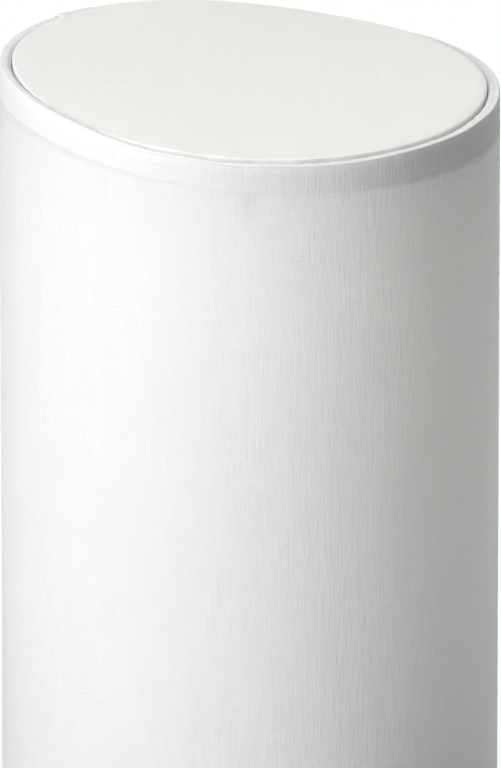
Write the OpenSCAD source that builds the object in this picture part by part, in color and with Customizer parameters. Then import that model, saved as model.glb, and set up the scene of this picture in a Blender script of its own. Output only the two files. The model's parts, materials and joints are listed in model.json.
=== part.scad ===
// Column floor lamp: a tall cloth column over a slim pole that carries two upright bulbs.
// Origin: centre of the foot, on the floor. +Z up, -Y towards the viewer, cord inlet at +Y.

/* [Overall] */
// Height from the floor to the face of the closing disc
lamp_h = 1380; // [1100:10:1700]
// Outside diameter of the cloth column
shade_d = 220; // [190:2:300]

/* [Cloth column] */
// Thickness of the cloth
cloth_t = 0.6; // [0.4:0.1:1]
// Thickness of the stiff liner behind the cloth
liner_t = 0.5; // [0.3:0.1:1]
// Diameter of the rod in the top and bottom rings
ring_rod_d = 3.6; // [3:0.2:5]
// Depth of the cloth turned in behind each ring
hem_h = 12; // [9:1:25]
// Outer radius of the fold between the column's face and its rim
fold_r = 0.5; // [0.2:0.1:1]
// Width of the tape over the joint of the liner
seam_tape_w = 20; // [12:1:30]
// Thickness of that tape
seam_tape_t = 0.3; // [0.2:0.1:0.6]
// Angle of the joint round the column, counted from +X
seam_angle = 128; // [0:1:359]

/* [Spider] */
// Distance from the lamp's top down to the spider's level arms
spider_drop = 26; // [22:1:60]
// Diameter of the spider's arms
spider_rod_d = 3.2; // [3:0.2:5]
// Radius of the bend in each arm
spider_bend_r = 8; // [6:1:12]
// Diameter of the hub
hub_d = 28; // [24:1:40]
// Height of the hub
hub_h = 10; // [8:1:16]
// Width of the tabs that carry the disc
tab_w = 8; // [6:1:14]
// Thickness of those tabs
tab_t = 1.2; // [0.8:0.1:2]
// Reach of those tabs in from the arms
tab_reach = 14; // [10:1:25]

/* [Closing disc] */
// Whole thickness of the cloth covered disc
disc_t = 6.4; // [4:0.2:8]
// Gap all round between the disc and what is nearest to its edge
disc_gap = 0.5; // [0.3:0.1:3]
// Height of the disc's face above the rolled rim
disc_rise = 1.1; // [0:0.1:3]
// Radius of the disc's upper edge
disc_edge_r = 3.2; // [1.5:0.1:3.5]
// Width of the cloth turned under the disc
disc_turn_w = 15; // [10:1:30]

/* [Foot] */
// Height of the foot's rim above the floor
foot_edge_h = 18; // [18:0.5:26]
// How far the foot stands out past the column
foot_lip = 4; // [2:0.5:15]
// Height of the step that centres the column
step_h = 6; // [4:0.5:12]
// Gap between that step and the column's rolled bottom
step_gap = 1; // [0.6:0.1:2]
// Thickness of the pressed cover
cover_t = 1.5; // [1:0.1:2.5]
// Radius of the cover's outer edge
cover_edge_r = 3; // [1:0.5:4]
// Thickness of the plate underneath
plate_t = 1.5; // [1:0.1:2]
// Thickness of the felt pads
pad_t = 2; // [1.5:0.5:4]
// Diameter of the felt pads
pad_d = 20; // [12:1:26]
// Number of felt pads
pad_count = 5; // [3:1:8]
// Bore of the cord inlet
inlet_d = 6.4; // [6:0.1:7]

/* [Pole] */
// Outside diameter of the pole
pole_d = 16; // [15:0.5:19]
// Wall of the pole
pole_t = 1.2; // [1:0.1:1.6]
// Height of the lower arm above the floor
lower_arm_z = 430; // [250:5:500]
// Distance from the lamp's top down to the upper arm
upper_arm_drop = 470; // [300:5:520]
// Outside diameter of the junctions and of the flange's socket
junction_d = 24; // [24:0.5:30]
// Height of a junction
junction_h = 44; // [38:1:60]
// Thickness of the solid middle of a junction
junction_web = 14; // [13:1:20]
// Diameter of the flange's plate
flange_d = 60; // [48:1:90]
// Thickness of the flange's plate
flange_t = 3; // [2:0.5:6]
// Diameter of the pin that centres the spider
pin_d = 8; // [6:0.5:10]
// Length of that pin
pin_h = 14; // [12:1:16]
// Thickness of the shoulder that carries the spider
shoulder_t = 4; // [3:0.5:8]

/* [Arms and holders] */
// Distance from the pole's axis to the bulb's axis
bulb_offset = 46; // [42:1:50]
// Outside diameter of an arm
arm_d = 10; // [10:0.1:10.2]
// Wall of an arm
arm_t = 1.2; // [1:0.1:1.3]
// Radius of the bend in an arm
arm_bend_r = 14; // [12:1:18]
// Distance from an arm's axis up to its lamp holder
holder_rise = 26; // [24:1:50]
// Outside diameter of the holder's lower cup
holder_cup_d = 34; // [33:0.5:36]
// Height of the holder's lower cup
holder_cup_h = 18; // [14:1:24]
// Height of the ceramic core
core_h = 8; // [6:0.5:12]
// Top of the holder's skirt above the foot of its cup
skirt_top = 56; // [52:1:57]
// Wall of the holder's skirt
skirt_t = 2.1; // [1.6:0.1:2.6]

/* [Bulbs] */
// Diameter of the globe
globe_d = 60; // [55:1:64]
// Whole length of the bulb
bulb_h = 110; // [100:1:116]
// Outside diameter of the screw cap
bulb_cap_d = 26.2; // [26:0.05:26.4]
// Length of the screw cap
bulb_cap_h = 22.8; // [21:0.1:24]

/* [Wiring] */
// Diameter of one insulated wire
wire_d = 2.4; // [1.8:0.1:2.4]

/* [Hidden] */
$fn = 64;

// Clearances
glue_gap = 0.05;     // between flat layers that are glued or pressed together
roll_gap = 0.15;     // between a ring's rod and the cloth rolled round it
weld_gap = 0.1;      // where one rod meets another
thread_gap = 0.02;   // radial, between a screw and its hole
run_gap = 0.05;      // radial, between the pin and the hub
rest_gap = 0.3;      // under what stands on a rounded edge

// Cloth column
shade_r = shade_d / 2;
shade_fn = 144;
ring_rod_r = ring_rod_d / 2;
bead_r = ring_rod_r + roll_gap + cloth_t;
bead_mid_r = shade_r - bead_r;
shade_z0 = foot_edge_h + rest_gap;
rim_z = lamp_h - disc_rise;
liner_out_r = shade_r - cloth_t - glue_gap;
liner_in_r = liner_out_r - liner_t;
hem_out_r = liner_in_r - glue_gap;
hem_in_r = hem_out_r - cloth_t;
hem_mid = (hem_out_r + hem_in_r) / 2 - bead_mid_r;
hem_start = sqrt(pow(bead_r - cloth_t / 2, 2) - pow(hem_mid, 2));

// Spider
spider_rod_r = spider_rod_d / 2;
spider_angles = [30, 150, 270];
leg_clear = 0.1;
leg_r = hem_in_r - leg_clear - spider_rod_r;
leg_top_z = rim_z - bead_r - ring_rod_r / 2;
spider_z = lamp_h - spider_drop;
hub_z0 = spider_z - hub_h / 2;
hub_socket_r = hub_d / 2 - 6;

// Closing disc
disc_r = min(shade_r - 2 * bead_r, leg_r - spider_rod_r) - disc_gap;
disc_z0 = lamp_h - disc_t;
disc_low_edge_r = 0.8;
disc_skin = cloth_t + glue_gap;

// Foot
cover_r = shade_r + foot_lip;
cover_in_r = cover_r - cover_t;
step_r = shade_r - 2 * bead_r - step_gap;
step_edge_r = 1.5;
step_z = foot_edge_h + step_h;
plate_z = pad_t;
plate_top_z = plate_z + plate_t;
cover_z0 = pad_t + 0.5;
weight_z0 = plate_top_z + 0.1;
weight_r = cover_in_r - 2.7;
weight_top_z = step_z - cover_t - 0.1;
weight_edge_z = foot_edge_h - cover_t - 0.1;
weight_step_r = step_r - cover_t - 0.3;
pad_ring_r = shade_r - 14;
base_screw_ring_r = shade_r - 32;
base_screw_count = 4;
m4_r = 2;
m4_head_r = 3.8;
m4_head_h = 2.4;
low_head_r = 4;
low_head_h = 1.2;
base_screw_len = 9;

// Stud that pulls the flange, cover and weight together
stud_r = 5;
stud_bore_r = 3.7;
stud_hole_r = stud_r + 0.2;
nut_t = 4.4;
nut_across = 17;
washer_t = 1.5;
washer_r = 12;
counterbore_r = 16;
web_t = 4.9;
washer_top_z = weight_top_z - web_t;
nut_top_z = washer_top_z - washer_t;
stud_z0 = nut_top_z - nut_t;

// Wiring: four wires, two by two, rise through the stud and the pole
wire_r = wire_d / 2;
wire_pitch = 1.3;
wire_bend_r = 5.2;
wire_run_z = stud_z0 - 0.3 - wire_bend_r;
channel_w = 14;
channel_top_z = wire_run_z + 4.5;

// Terminal block in a pocket of the weight
block_w = 30;
block_l = 22;
block_y0 = 45;
block_z1 = plate_top_z + 8.5;
block_screw_r = 1.9;
block_screw_len = 4;
block_screw_sink = 0.4;
block_screw_pitch = 9;
block_screw_rows = 13;
pocket_margin = 2.5;
pocket_top_z = block_z1 + 1;
tag_t = 0.8;
tag_r = 4.2;
earth_x = -block_w / 2 - 11;
earth_y = block_y0 + 12;
earth_screw_len = 2.6;

// Cord inlet
gland_neck_r = inlet_d / 2 + 1.5;
gland_flange_r = gland_neck_r + 1.5;
inlet_z = plate_top_z + gland_flange_r + 0.2;
gland_y1 = cover_r - 0.1;
gland_flange_y = cover_in_r - 0.3;
gland_flange_t = 1.6;

// Pole
pole_r = pole_d / 2;
pole_bore_r = pole_r - pole_t;
junction_r = junction_d / 2;
socket_r = pole_r + glue_gap;
web_half = junction_web / 2;
flange_floor_z = step_z + 6;
flange_h = 24;
upper_arm_z = lamp_h - upper_arm_drop;
shoulder_z = hub_z0;
shoulder_r = pole_r + 2;
pin_r = pin_d / 2;
spigot_h = 20;
junction_bore_r = 4.5;
grub_z = (junction_h / 2 + web_half) / 2;
flange_grub_z = (flange_floor_z + step_z + flange_h) / 2;
flange_screw_ring_r = flange_d / 2 - 8;
flange_screw_count = 3;
flange_screw_len = 12;

// Arms
arm_r = arm_d / 2;
arm_bore_r = arm_r - arm_t;
arm_root = junction_r - 6;
arm_top = 7;

// Lamp holder, measured from the foot of its cup
cup_r = holder_cup_d / 2;
cup_wall = 2;
cup_floor = 3;
core_r = cup_r - 0.1;
core_z1 = holder_cup_h + core_h;
terminal_y = 6.5;
contact_t = 1.2;
skirt_in_r = cup_r + 0.1;
skirt_r = skirt_in_r + skirt_t;
skirt_z0 = holder_cup_h - 10;
lip_in_r = cup_r - 1;
lip_h = 2;
screw_shell_h = 22;
screw_shell_t = 0.7;
screw_shell_in_r = bulb_cap_d / 2 + 0.6;
locknut_t = 3.5;
locknut_across = 14;
bulb_seat = core_z1 + contact_t;

// Bulb, measured from the underside of its tip
cap_r = bulb_cap_d / 2;
cap_wall = 0.55;
cap_in_r = cap_r - cap_wall;
insulator_z0 = 1.2;
cap_z0 = 4.2;
cap_z1 = cap_z0 + bulb_cap_h;
tip_r = 4.5;
tip_stem_r = 2;
tip_stem_z1 = 4;
globe_r = globe_d / 2;
globe_t = 1.2;
globe_mid_z = bulb_h - globe_r;
globe_cut_z = globe_mid_z - 0.4 * globe_r;
globe_cut_r = sqrt(pow(globe_r, 2) - pow(globe_mid_z - globe_cut_z, 2));
neck_r = cap_r + 0.5;

// Points of a round corner about centre c, from angle a0 to a1
function arc(c, r, a0, a1, n = 8) =
    [for (i = [0:n]) c + r * [cos(a0 + (a1 - a0) * i / n), sin(a0 + (a1 - a0) * i / n)]];

// Corners of a ring of n places at radius r
function ring(n, r, a0 = 0) = [for (i = [0:n - 1]) r * [cos(a0 + 360 * i / n), sin(a0 + 360 * i / n)]];

module ring_of(places, z = 0) {
    for (p = places) translate([p.x, p.y, z]) children();
}

module tube(r_out, r_in, z0, z1) {
    translate([0, 0, z0]) difference() {
        cylinder(h = z1 - z0, r = r_out);
        translate([0, 0, -1]) cylinder(h = z1 - z0 + 2, r = r_in);
    }
}

module rod_x(x0, x1, y, z, r) {
    translate([x0, y, z]) rotate([0, 90, 0]) cylinder(h = x1 - x0, r = r);
}

module rod_y(y0, y1, x, z, r) {
    translate([x, y0, z]) rotate([-90, 0, 0]) cylinder(h = y1 - y0, r = r);
}

module rod_z(z0, z1, x, y, r) {
    translate([x, y, z0]) cylinder(h = z1 - z0, r = r);
}

// Quarter of a torus, from +X towards +Y about Z
module elbow(bend, r) {
    rotate_extrude(angle = 90) translate([bend, 0]) circle(r = r, $fn = 32);
}

// Level run that turns up: from the bottom of the bend to its +X side
module elbow_up(x, y, z, bend, r) {
    translate([x, y, z]) rotate([-90, 0, 0]) elbow(bend, r);
}

// Upright run that turns towards +X at its top
module elbow_out(x, y, z, bend, r) {
    translate([x, y, z]) rotate([90, 0, 180]) elbow(bend, r);
}

// Run from +Y that turns up
module elbow_rise(x, y, z, bend, r) {
    translate([x, y, z]) rotate([0, 90, 180]) elbow(bend, r);
}

module hex_nut(across, t, hole_r) {
    difference() {
        cylinder(h = t, r = across / 2 / cos(30), $fn = 6);
        translate([0, 0, -1]) cylinder(h = t + 2, r = hole_r);
    }
}

module at_lower() {
    translate([bulb_offset, 0, lower_arm_z + holder_rise]) children();
}

module at_upper() {
    translate([-bulb_offset, 0, upper_arm_z + holder_rise]) children();
}

// ---- Foot ----

module base_cover() {
    color("white") difference() {
        rotate_extrude($fn = shade_fn) polygon(concat(
            [[cover_r, cover_z0]],
            arc([cover_r - cover_edge_r, foot_edge_h - cover_edge_r], cover_edge_r, 0, 90),
            [[step_r, foot_edge_h]],
            arc([step_r - step_edge_r, step_z - step_edge_r], step_edge_r, 0, 90),
            [[stud_hole_r, step_z], [stud_hole_r, step_z - cover_t]],
            [[step_r - cover_t, step_z - cover_t], [step_r - cover_t, foot_edge_h - cover_t]],
            [[cover_in_r, foot_edge_h - cover_t], [cover_in_r, cover_z0]]
        ));
        rod_y(cover_in_r - 5, cover_r + 5, 0, inlet_z, gland_neck_r + glue_gap);
        ring_of(ring(flange_screw_count, flange_screw_ring_r, 30), step_z - 5)
            cylinder(h = 10, r = m4_r + 0.2, $fn = 32);
    }
}

module base_weight() {
    color("dimgray") difference() {
        union() {
            rod_z(weight_z0, weight_edge_z, 0, 0, weight_r, $fn = shade_fn);
            rod_z(weight_z0, weight_top_z, 0, 0, weight_step_r, $fn = shade_fn);
        }
        rod_z(weight_z0 - 1, weight_top_z + 1, 0, 0, stud_hole_r);
        rod_z(weight_z0 - 1, washer_top_z, 0, 0, counterbore_r);
        translate([-channel_w / 2, 0, weight_z0 - 1])
            cube([channel_w, block_y0, channel_top_z - weight_z0 + 1]);
        translate([earth_x - tag_r - pocket_margin, block_y0 - pocket_margin, weight_z0 - 1])
            cube([
                block_w / 2 - earth_x + tag_r + 2 * pocket_margin,
                block_l + 2 * pocket_margin,
                pocket_top_z - weight_z0 + 1
            ]);
        translate([-channel_w / 2, block_y0 + block_l, weight_z0 - 1])
            cube([channel_w, weight_r, inlet_z + gland_flange_r - weight_z0 + 1]);
        ring_of(ring(flange_screw_count, flange_screw_ring_r, 30), weight_top_z - flange_screw_len)
            cylinder(h = flange_screw_len + 1, r = m4_r + thread_gap, $fn = 32);
        ring_of(ring(base_screw_count, base_screw_ring_r, 45), weight_z0 - 1)
            cylinder(h = base_screw_len + 1, r = m4_r + thread_gap, $fn = 32);
        rod_z(pocket_top_z - 1, pocket_top_z + earth_screw_len, earth_x, earth_y, m4_r + thread_gap,
              $fn = 32);
    }
}

module base_plate() {
    color("gainsboro") difference() {
        rod_z(plate_z, plate_top_z, 0, 0, cover_in_r - 0.3, $fn = shade_fn);
        ring_of(ring(base_screw_count, base_screw_ring_r, 45), plate_z - 1)
            cylinder(h = plate_t + 2, r = m4_r + 0.2, $fn = 32);
    }
}

module base_screws() {
    color("silver") ring_of(ring(base_screw_count, base_screw_ring_r, 45), plate_z - low_head_h) {
        cylinder(h = low_head_h, r = low_head_r, $fn = 32);
        cylinder(h = base_screw_len, r = m4_r, $fn = 32);
    }
}

module foot_pads() {
    color("gray") ring_of(ring(pad_count, pad_ring_r, 90)) cylinder(h = pad_t, d = pad_d, $fn = 48);
}

module cord_gland() {
    color("whitesmoke") difference() {
        union() {
            rod_y(gland_flange_y - gland_flange_t, gland_flange_y, 0, inlet_z, gland_flange_r);
            rod_y(gland_flange_y - gland_flange_t, gland_y1, 0, inlet_z, gland_neck_r);
        }
        rod_y(gland_flange_y - 10, gland_y1 + 10, 0, inlet_z, inlet_d / 2);
    }
}

function block_screw_places() = [
    for (i = [-1:1], j = [-1, 1])
        [i * block_screw_pitch, block_y0 + block_l / 2 + j * block_screw_rows / 2]
];

module terminal_block() {
    color("ivory") difference() {
        translate([-block_w / 2, block_y0, plate_top_z]) cube([block_w, block_l, block_z1 - plate_top_z]);
        ring_of(block_screw_places(), plate_top_z - 1)
            cylinder(h = 1 + block_screw_sink + block_screw_len, r = block_screw_r + 0.1, $fn = 24);
    }
}

module terminal_screws() {
    color("gold") ring_of(block_screw_places(), plate_top_z + block_screw_sink) difference() {
        cylinder(h = block_screw_len, r = block_screw_r, $fn = 24);
        translate([-block_screw_r - 1, -0.3, -1]) cube([2 * block_screw_r + 2, 0.6, 1.8]);
    }
}

module earth_lead() {
    lead_z = pocket_top_z - tag_t - wire_r + 0.2;
    color("yellowgreen") difference() {
        union() {
            rod_z(pocket_top_z - tag_t, pocket_top_z, earth_x, earth_y, tag_r, $fn = 32);
            rod_x(earth_x + tag_r - 0.8, -block_w / 2, earth_y, lead_z, wire_r, $fn = 24);
        }
        rod_z(pocket_top_z - 5, pocket_top_z + 1, earth_x, earth_y, m4_r + thread_gap, $fn = 32);
    }
}

module earth_screw() {
    head_z = pocket_top_z - tag_t;
    head_r = 3.2;
    color("silver") {
        rod_z(head_z - m4_head_h, head_z, earth_x, earth_y, head_r, $fn = 32);
        rod_z(head_z, pocket_top_z + earth_screw_len, earth_x, earth_y, m4_r, $fn = 32);
    }
}

// ---- Pole ----

module pole_stud() {
    color("silver") tube(stud_r, stud_bore_r, stud_z0, flange_floor_z);
}

module stud_nut() {
    color("silver") translate([0, 0, stud_z0]) hex_nut(nut_across, nut_t, stud_r + thread_gap);
}

module stud_washer() {
    color("silver") tube(washer_r, stud_hole_r, nut_top_z, washer_top_z);
}

module pole_flange() {
    color("white") difference() {
        union() {
            rod_z(step_z, step_z + flange_t, 0, 0, flange_d / 2);
            rod_z(step_z, step_z + flange_h, 0, 0, junction_r);
        }
        rod_z(step_z - 1, flange_floor_z + 1, 0, 0, stud_r + thread_gap);
        rod_z(flange_floor_z, step_z + flange_h + 1, 0, 0, socket_r);
        ring_of(ring(flange_screw_count, flange_screw_ring_r, 30), step_z - 1)
            cylinder(h = flange_t + 2, r = m4_r + 0.2, $fn = 32);
        rod_y(0, junction_r + 1, 0, flange_grub_z, m4_r + thread_gap, $fn = 32);
    }
}

module flange_screws() {
    head_z = step_z + flange_t;
    color("silver") ring_of(ring(flange_screw_count, flange_screw_ring_r, 30), head_z) difference() {
        union() {
            cylinder(h = m4_head_h, r = m4_head_r, $fn = 32);
            translate([0, 0, 1 - flange_screw_len]) cylinder(h = flange_screw_len, r = m4_r, $fn = 32);
        }
        translate([0, 0, m4_head_h - 1.2]) cylinder(h = 2, r = 1.7, $fn = 6);
    }
}

module pole_lower() {
    color("white") tube(pole_r, pole_bore_r, flange_floor_z, lower_arm_z - web_half);
}

module pole_middle() {
    color("white") tube(pole_r, pole_bore_r, lower_arm_z + web_half, upper_arm_z - web_half);
}

module pole_upper() {
    color("white") tube(pole_r, pole_bore_r, upper_arm_z + web_half, shoulder_z - shoulder_t);
}

// Turned block that joins two lengths of pole and holds one arm on its +X side
module junction() {
    color("white") difference() {
        translate([0, 0, -junction_h / 2]) cylinder(h = junction_h, r = junction_r);
        rod_z(-junction_h, junction_h, 0, 0, junction_bore_r);
        rod_z(web_half, junction_h, 0, 0, socket_r);
        rod_z(-junction_h, -web_half, 0, 0, socket_r);
        rod_x(0, junction_r + 1, 0, 0, arm_bore_r);
        rod_x(arm_root, junction_r + 1, 0, 0, arm_r + thread_gap);
        for (s = [-1, 1]) rod_y(0, junction_r + 1, 0, s * grub_z, m4_r + thread_gap, $fn = 32);
    }
}

module lower_junction() {
    translate([0, 0, lower_arm_z]) junction();
}

module upper_junction() {
    translate([0, 0, upper_arm_z]) mirror([1, 0, 0]) junction();
}

module pole_cap() {
    tip_h = 1.5;
    color("silver") {
        rod_z(shoulder_z - shoulder_t - spigot_h, shoulder_z - shoulder_t, 0, 0, pole_bore_r - glue_gap);
        rod_z(shoulder_z - shoulder_t, shoulder_z, 0, 0, shoulder_r);
        rod_z(shoulder_z, shoulder_z + pin_h - tip_h, 0, 0, pin_r);
        translate([0, 0, shoulder_z + pin_h - tip_h]) cylinder(h = tip_h, r1 = pin_r, r2 = pin_r - 1);
    }
}

module grub_screw(z) {
    color("dimgray") difference() {
        rod_y(pole_r + 0.02, junction_r - 0.2, 0, z, m4_r, $fn = 32);
        translate([0, junction_r - 1.6, z]) rotate([-90, 0, 0]) cylinder(h = 3, r = 1.1, $fn = 6);
    }
}

module grub_screws() {
    grub_screw(flange_grub_z);
    for (z = [lower_arm_z, upper_arm_z], s = [-1, 1]) grub_screw(z + s * grub_z);
}

// ---- Arms and lamp holders ----

// Path of an arm on the +X side, swept with radius r
module arm_path(r, root, top) {
    rod_x(root, bulb_offset - arm_bend_r, 0, 0, r);
    elbow_up(bulb_offset - arm_bend_r, 0, arm_bend_r, arm_bend_r, r);
    rod_z(arm_bend_r, top, bulb_offset, 0, r);
}

module arm() {
    color("white") difference() {
        arm_path(arm_r, arm_root, holder_rise + arm_top);
        arm_path(arm_bore_r, arm_root - 1, holder_rise + arm_top + 1);
    }
}

module lower_arm() {
    translate([0, 0, lower_arm_z]) arm();
}

module upper_arm() {
    translate([0, 0, upper_arm_z]) mirror([1, 0, 0]) arm();
}

module locknut() {
    color("silver") translate([0, 0, -locknut_t]) hex_nut(locknut_across, locknut_t, arm_r + thread_gap);
}

module holder_locknuts() {
    at_lower() locknut();
    at_upper() locknut();
}

module holder_cup() {
    foot_r = 3;
    color("white") difference() {
        rotate_extrude() polygon(concat(
            [[0, 0]],
            arc([cup_r - foot_r, foot_r], foot_r, -90, 0),
            [[cup_r, holder_cup_h], [cup_r - cup_wall, holder_cup_h]],
            [[cup_r - cup_wall, cup_floor], [0, cup_floor]]
        ));
        rod_z(-1, cup_floor + 1, 0, 0, arm_r + thread_gap);
    }
}

module holder_core() {
    color("white") difference() {
        rod_z(holder_cup_h, core_z1, 0, 0, core_r);
        for (s = [-1, 1]) rod_z(holder_cup_h - 1, holder_cup_h + 3, 0, s * terminal_y, 1.5, $fn = 24);
    }
}

module screw_shell() {
    color("gold") tube(screw_shell_in_r + screw_shell_t, screw_shell_in_r, core_z1, core_z1 + screw_shell_h);
}

module contact() {
    color("gold") translate([-7, -3, core_z1]) cube([14, 6, contact_t]);
}

module holder_skirt() {
    color("white") difference() {
        rod_z(skirt_z0, skirt_top, 0, 0, skirt_r);
        rod_z(skirt_z0 - 1, skirt_top - lip_h, 0, 0, skirt_in_r);
        rod_z(skirt_z0, skirt_top + 1, 0, 0, lip_in_r);
    }
}

module lower_holder_cup() { at_lower() holder_cup(); }
module lower_holder_core() { at_lower() holder_core(); }
module lower_screw_shell() { at_lower() screw_shell(); }
module lower_contact() { at_lower() contact(); }
module lower_holder_skirt() { at_lower() holder_skirt(); }
module upper_holder_cup() { at_upper() holder_cup(); }
module upper_holder_core() { at_upper() holder_core(); }
module upper_screw_shell() { at_upper() screw_shell(); }
module upper_contact() { at_upper() contact(); }
module upper_holder_skirt() { at_upper() holder_skirt(); }

// One wire from the terminal block to a holder on the +X side; s is its side of the XZ plane
module wire(arm_z, s) {
    out_bend_r = 6;
    rise_bend_r = wire_bend_r - s * wire_pitch;
    bend_z = wire_run_z + wire_bend_r;
    y = s * wire_pitch;
    rod_y(wire_bend_r, block_y0, wire_pitch, bend_z - rise_bend_r, wire_r, $fn = 24);
    elbow_rise(wire_pitch, wire_bend_r, bend_z, rise_bend_r, wire_r);
    rod_z(bend_z, arm_z - out_bend_r, wire_pitch, y, wire_r, $fn = 24);
    elbow_out(wire_pitch + out_bend_r, y, arm_z - out_bend_r, out_bend_r, wire_r);
    rod_x(wire_pitch + out_bend_r, bulb_offset - arm_bend_r, y, arm_z, wire_r, $fn = 24);
    elbow_up(bulb_offset - arm_bend_r, y, arm_z + arm_bend_r, arm_bend_r, wire_r);
    rod_z(arm_z + arm_bend_r, arm_z + holder_rise + holder_cup_h, bulb_offset, y, wire_r, $fn = 24);
}

module lower_wires() {
    color("saddlebrown") for (s = [-1, 1]) wire(lower_arm_z, s);
}

module upper_wires() {
    color("royalblue") mirror([1, 0, 0]) for (s = [-1, 1]) wire(upper_arm_z, s);
}

// ---- Bulbs, measured from the underside of the tip ----

module bulb_tip() {
    color("silver") {
        rod_z(0, insulator_z0 - glue_gap, 0, 0, tip_r, $fn = 48);
        rod_z(0, tip_stem_z1, 0, 0, tip_stem_r, $fn = 32);
    }
}

module bulb_insulator() {
    fill_z = cap_z0 + 3;
    color("black") difference() {
        union() {
            translate([0, 0, insulator_z0])
                cylinder(h = cap_z0 - insulator_z0, r1 = cap_r - 4, r2 = cap_in_r - glue_gap);
            rod_z(cap_z0, fill_z, 0, 0, cap_in_r - glue_gap);
        }
        rod_z(0, tip_stem_z1 + run_gap, 0, 0, tip_stem_r + run_gap, $fn = 32);
    }
}

module bulb_cap() {
    color("silver") tube(cap_r, cap_in_r, cap_z0, cap_z1);
}

module bulb_housing() {
    steps = 14;
    seat_z = globe_cut_z;
    flare = [
        for (i = [0:steps])
            [neck_r + (globe_cut_r - neck_r) * (1 - cos(180 * pow(i / steps, 0.9))) / 2,
             cap_z1 + (seat_z - cap_z1) * i / steps]
    ];
    color("whitesmoke") rotate_extrude() polygon(concat(
        [[0, cap_z1 - 7], [cap_in_r - glue_gap, cap_z1 - 7], [cap_in_r - glue_gap, cap_z1]],
        flare,
        [[0, seat_z]]
    ));
}

module bulb_globe() {
    half = asin((globe_mid_z - globe_cut_z) / globe_r);
    inner_r = globe_r - globe_t;
    inner_half = asin((globe_mid_z - globe_cut_z) / inner_r);
    color("white") rotate_extrude() polygon(concat(
        arc([0, globe_mid_z], globe_r, -half, 90, 20),
        arc([0, globe_mid_z], inner_r, 90, -inner_half, 20)
    ));
}

module in_lower_holder() { at_lower() translate([0, 0, bulb_seat]) children(); }
module in_upper_holder() { at_upper() translate([0, 0, bulb_seat]) children(); }

module lower_bulb_tip() { in_lower_holder() bulb_tip(); }
module lower_bulb_insulator() { in_lower_holder() bulb_insulator(); }
module lower_bulb_cap() { in_lower_holder() bulb_cap(); }
module lower_bulb_housing() { in_lower_holder() bulb_housing(); }
module lower_bulb_globe() { in_lower_holder() bulb_globe(); }
module upper_bulb_tip() { in_upper_holder() bulb_tip(); }
module upper_bulb_insulator() { in_upper_holder() bulb_insulator(); }
module upper_bulb_cap() { in_upper_holder() bulb_cap(); }
module upper_bulb_housing() { in_upper_holder() bulb_housing(); }
module upper_bulb_globe() { in_upper_holder() bulb_globe(); }

// ---- Cloth column ----

// Section of the cloth rolled round one ring, about the rod's centre, hem downwards
module rolled_edge() {
    roll_in_r = bead_r - cloth_t;
    fold = [bead_r - fold_r, bead_r - fold_r];
    difference() {
        polygon(concat(arc([0, 0], bead_r, 90, 360, 24), arc(fold, fold_r, 0, 90, 4)));
        polygon(concat(arc([0, 0], roll_in_r, 90, 360, 24), [[roll_in_r, roll_in_r]]));
    }
    translate([hem_in_r - bead_mid_r, bead_r - hem_h]) square([cloth_t, hem_h - bead_r - hem_start]);
}

module shade_cloth() {
    notch_r = spider_rod_r + leg_clear - 0.02;
    color("white") difference() {
        rotate_extrude($fn = shade_fn) {
            translate([shade_r - cloth_t, shade_z0 + bead_r])
                square([cloth_t, rim_z - shade_z0 - 2 * bead_r]);
            translate([bead_mid_r, rim_z - bead_r]) rolled_edge();
            translate([bead_mid_r, shade_z0 + bead_r]) mirror([0, 1]) rolled_edge();
        }
        for (a = spider_angles) rotate([0, 0, a])
            rod_z(rim_z - 3 * bead_r, leg_top_z + leg_clear, leg_r, 0, notch_r, $fn = 32);
    }
}

module shade_liner() {
    color("snow") rotate_extrude($fn = shade_fn)
        translate([liner_in_r, shade_z0 + 2 * bead_r + glue_gap])
            square([liner_t, rim_z - shade_z0 - 4 * bead_r - 2 * glue_gap]);
}

module hoop(z, r) {
    rotate_extrude($fn = shade_fn) translate([bead_mid_r, z]) circle(r = r, $fn = 32);
}

module top_ring() {
    color("silver") hoop(rim_z - bead_r, ring_rod_r);
}

module bottom_ring() {
    color("silver") hoop(shade_z0 + bead_r, ring_rod_r);
}

module seam_tape() {
    tape_r = liner_in_r - glue_gap;
    half = seam_tape_w / 2 / tape_r * 180 / PI;
    ends = hem_h + 1;
    color("ivory") rotate([0, 0, seam_angle - half]) rotate_extrude(angle = 2 * half, $fn = shade_fn)
        translate([tape_r - seam_tape_t, shade_z0 + ends])
            square([seam_tape_t, rim_z - shade_z0 - 2 * ends]);
}

module spider_hub() {
    color("silver") difference() {
        rod_z(hub_z0, hub_z0 + hub_h, 0, 0, hub_d / 2);
        rod_z(hub_z0 - 1, hub_z0 + hub_h + 1, 0, 0, pin_r + run_gap);
        for (a = spider_angles) rotate([0, 0, a])
            rod_x(hub_socket_r, hub_d, 0, spider_z, spider_rod_r + thread_gap, $fn = 32);
    }
}

module spider_arms() {
    color("silver") for (a = spider_angles) rotate([0, 0, a]) difference() {
        union() {
            rod_x(hub_socket_r, leg_r - spider_bend_r, 0, spider_z, spider_rod_r, $fn = 32);
            elbow_up(leg_r - spider_bend_r, 0, spider_z + spider_bend_r, spider_bend_r, spider_rod_r);
            rod_z(spider_z + spider_bend_r, leg_top_z, leg_r, 0, spider_rod_r, $fn = 32);
        }
        hoop(rim_z - bead_r, ring_rod_r + weld_gap);
    }
}

module rest_tabs() {
    color("silver") for (a = spider_angles) rotate([0, 0, a]) difference() {
        translate([leg_r - tab_reach, -tab_w / 2, disc_z0 - tab_t]) cube([tab_reach, tab_w, tab_t]);
        rod_z(disc_z0 - 2 * tab_t, disc_z0 + 1, leg_r, 0, spider_rod_r + thread_gap, $fn = 32);
        hoop(rim_z - bead_r, bead_r + weld_gap);
    }
}

// ---- Closing disc ----

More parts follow.
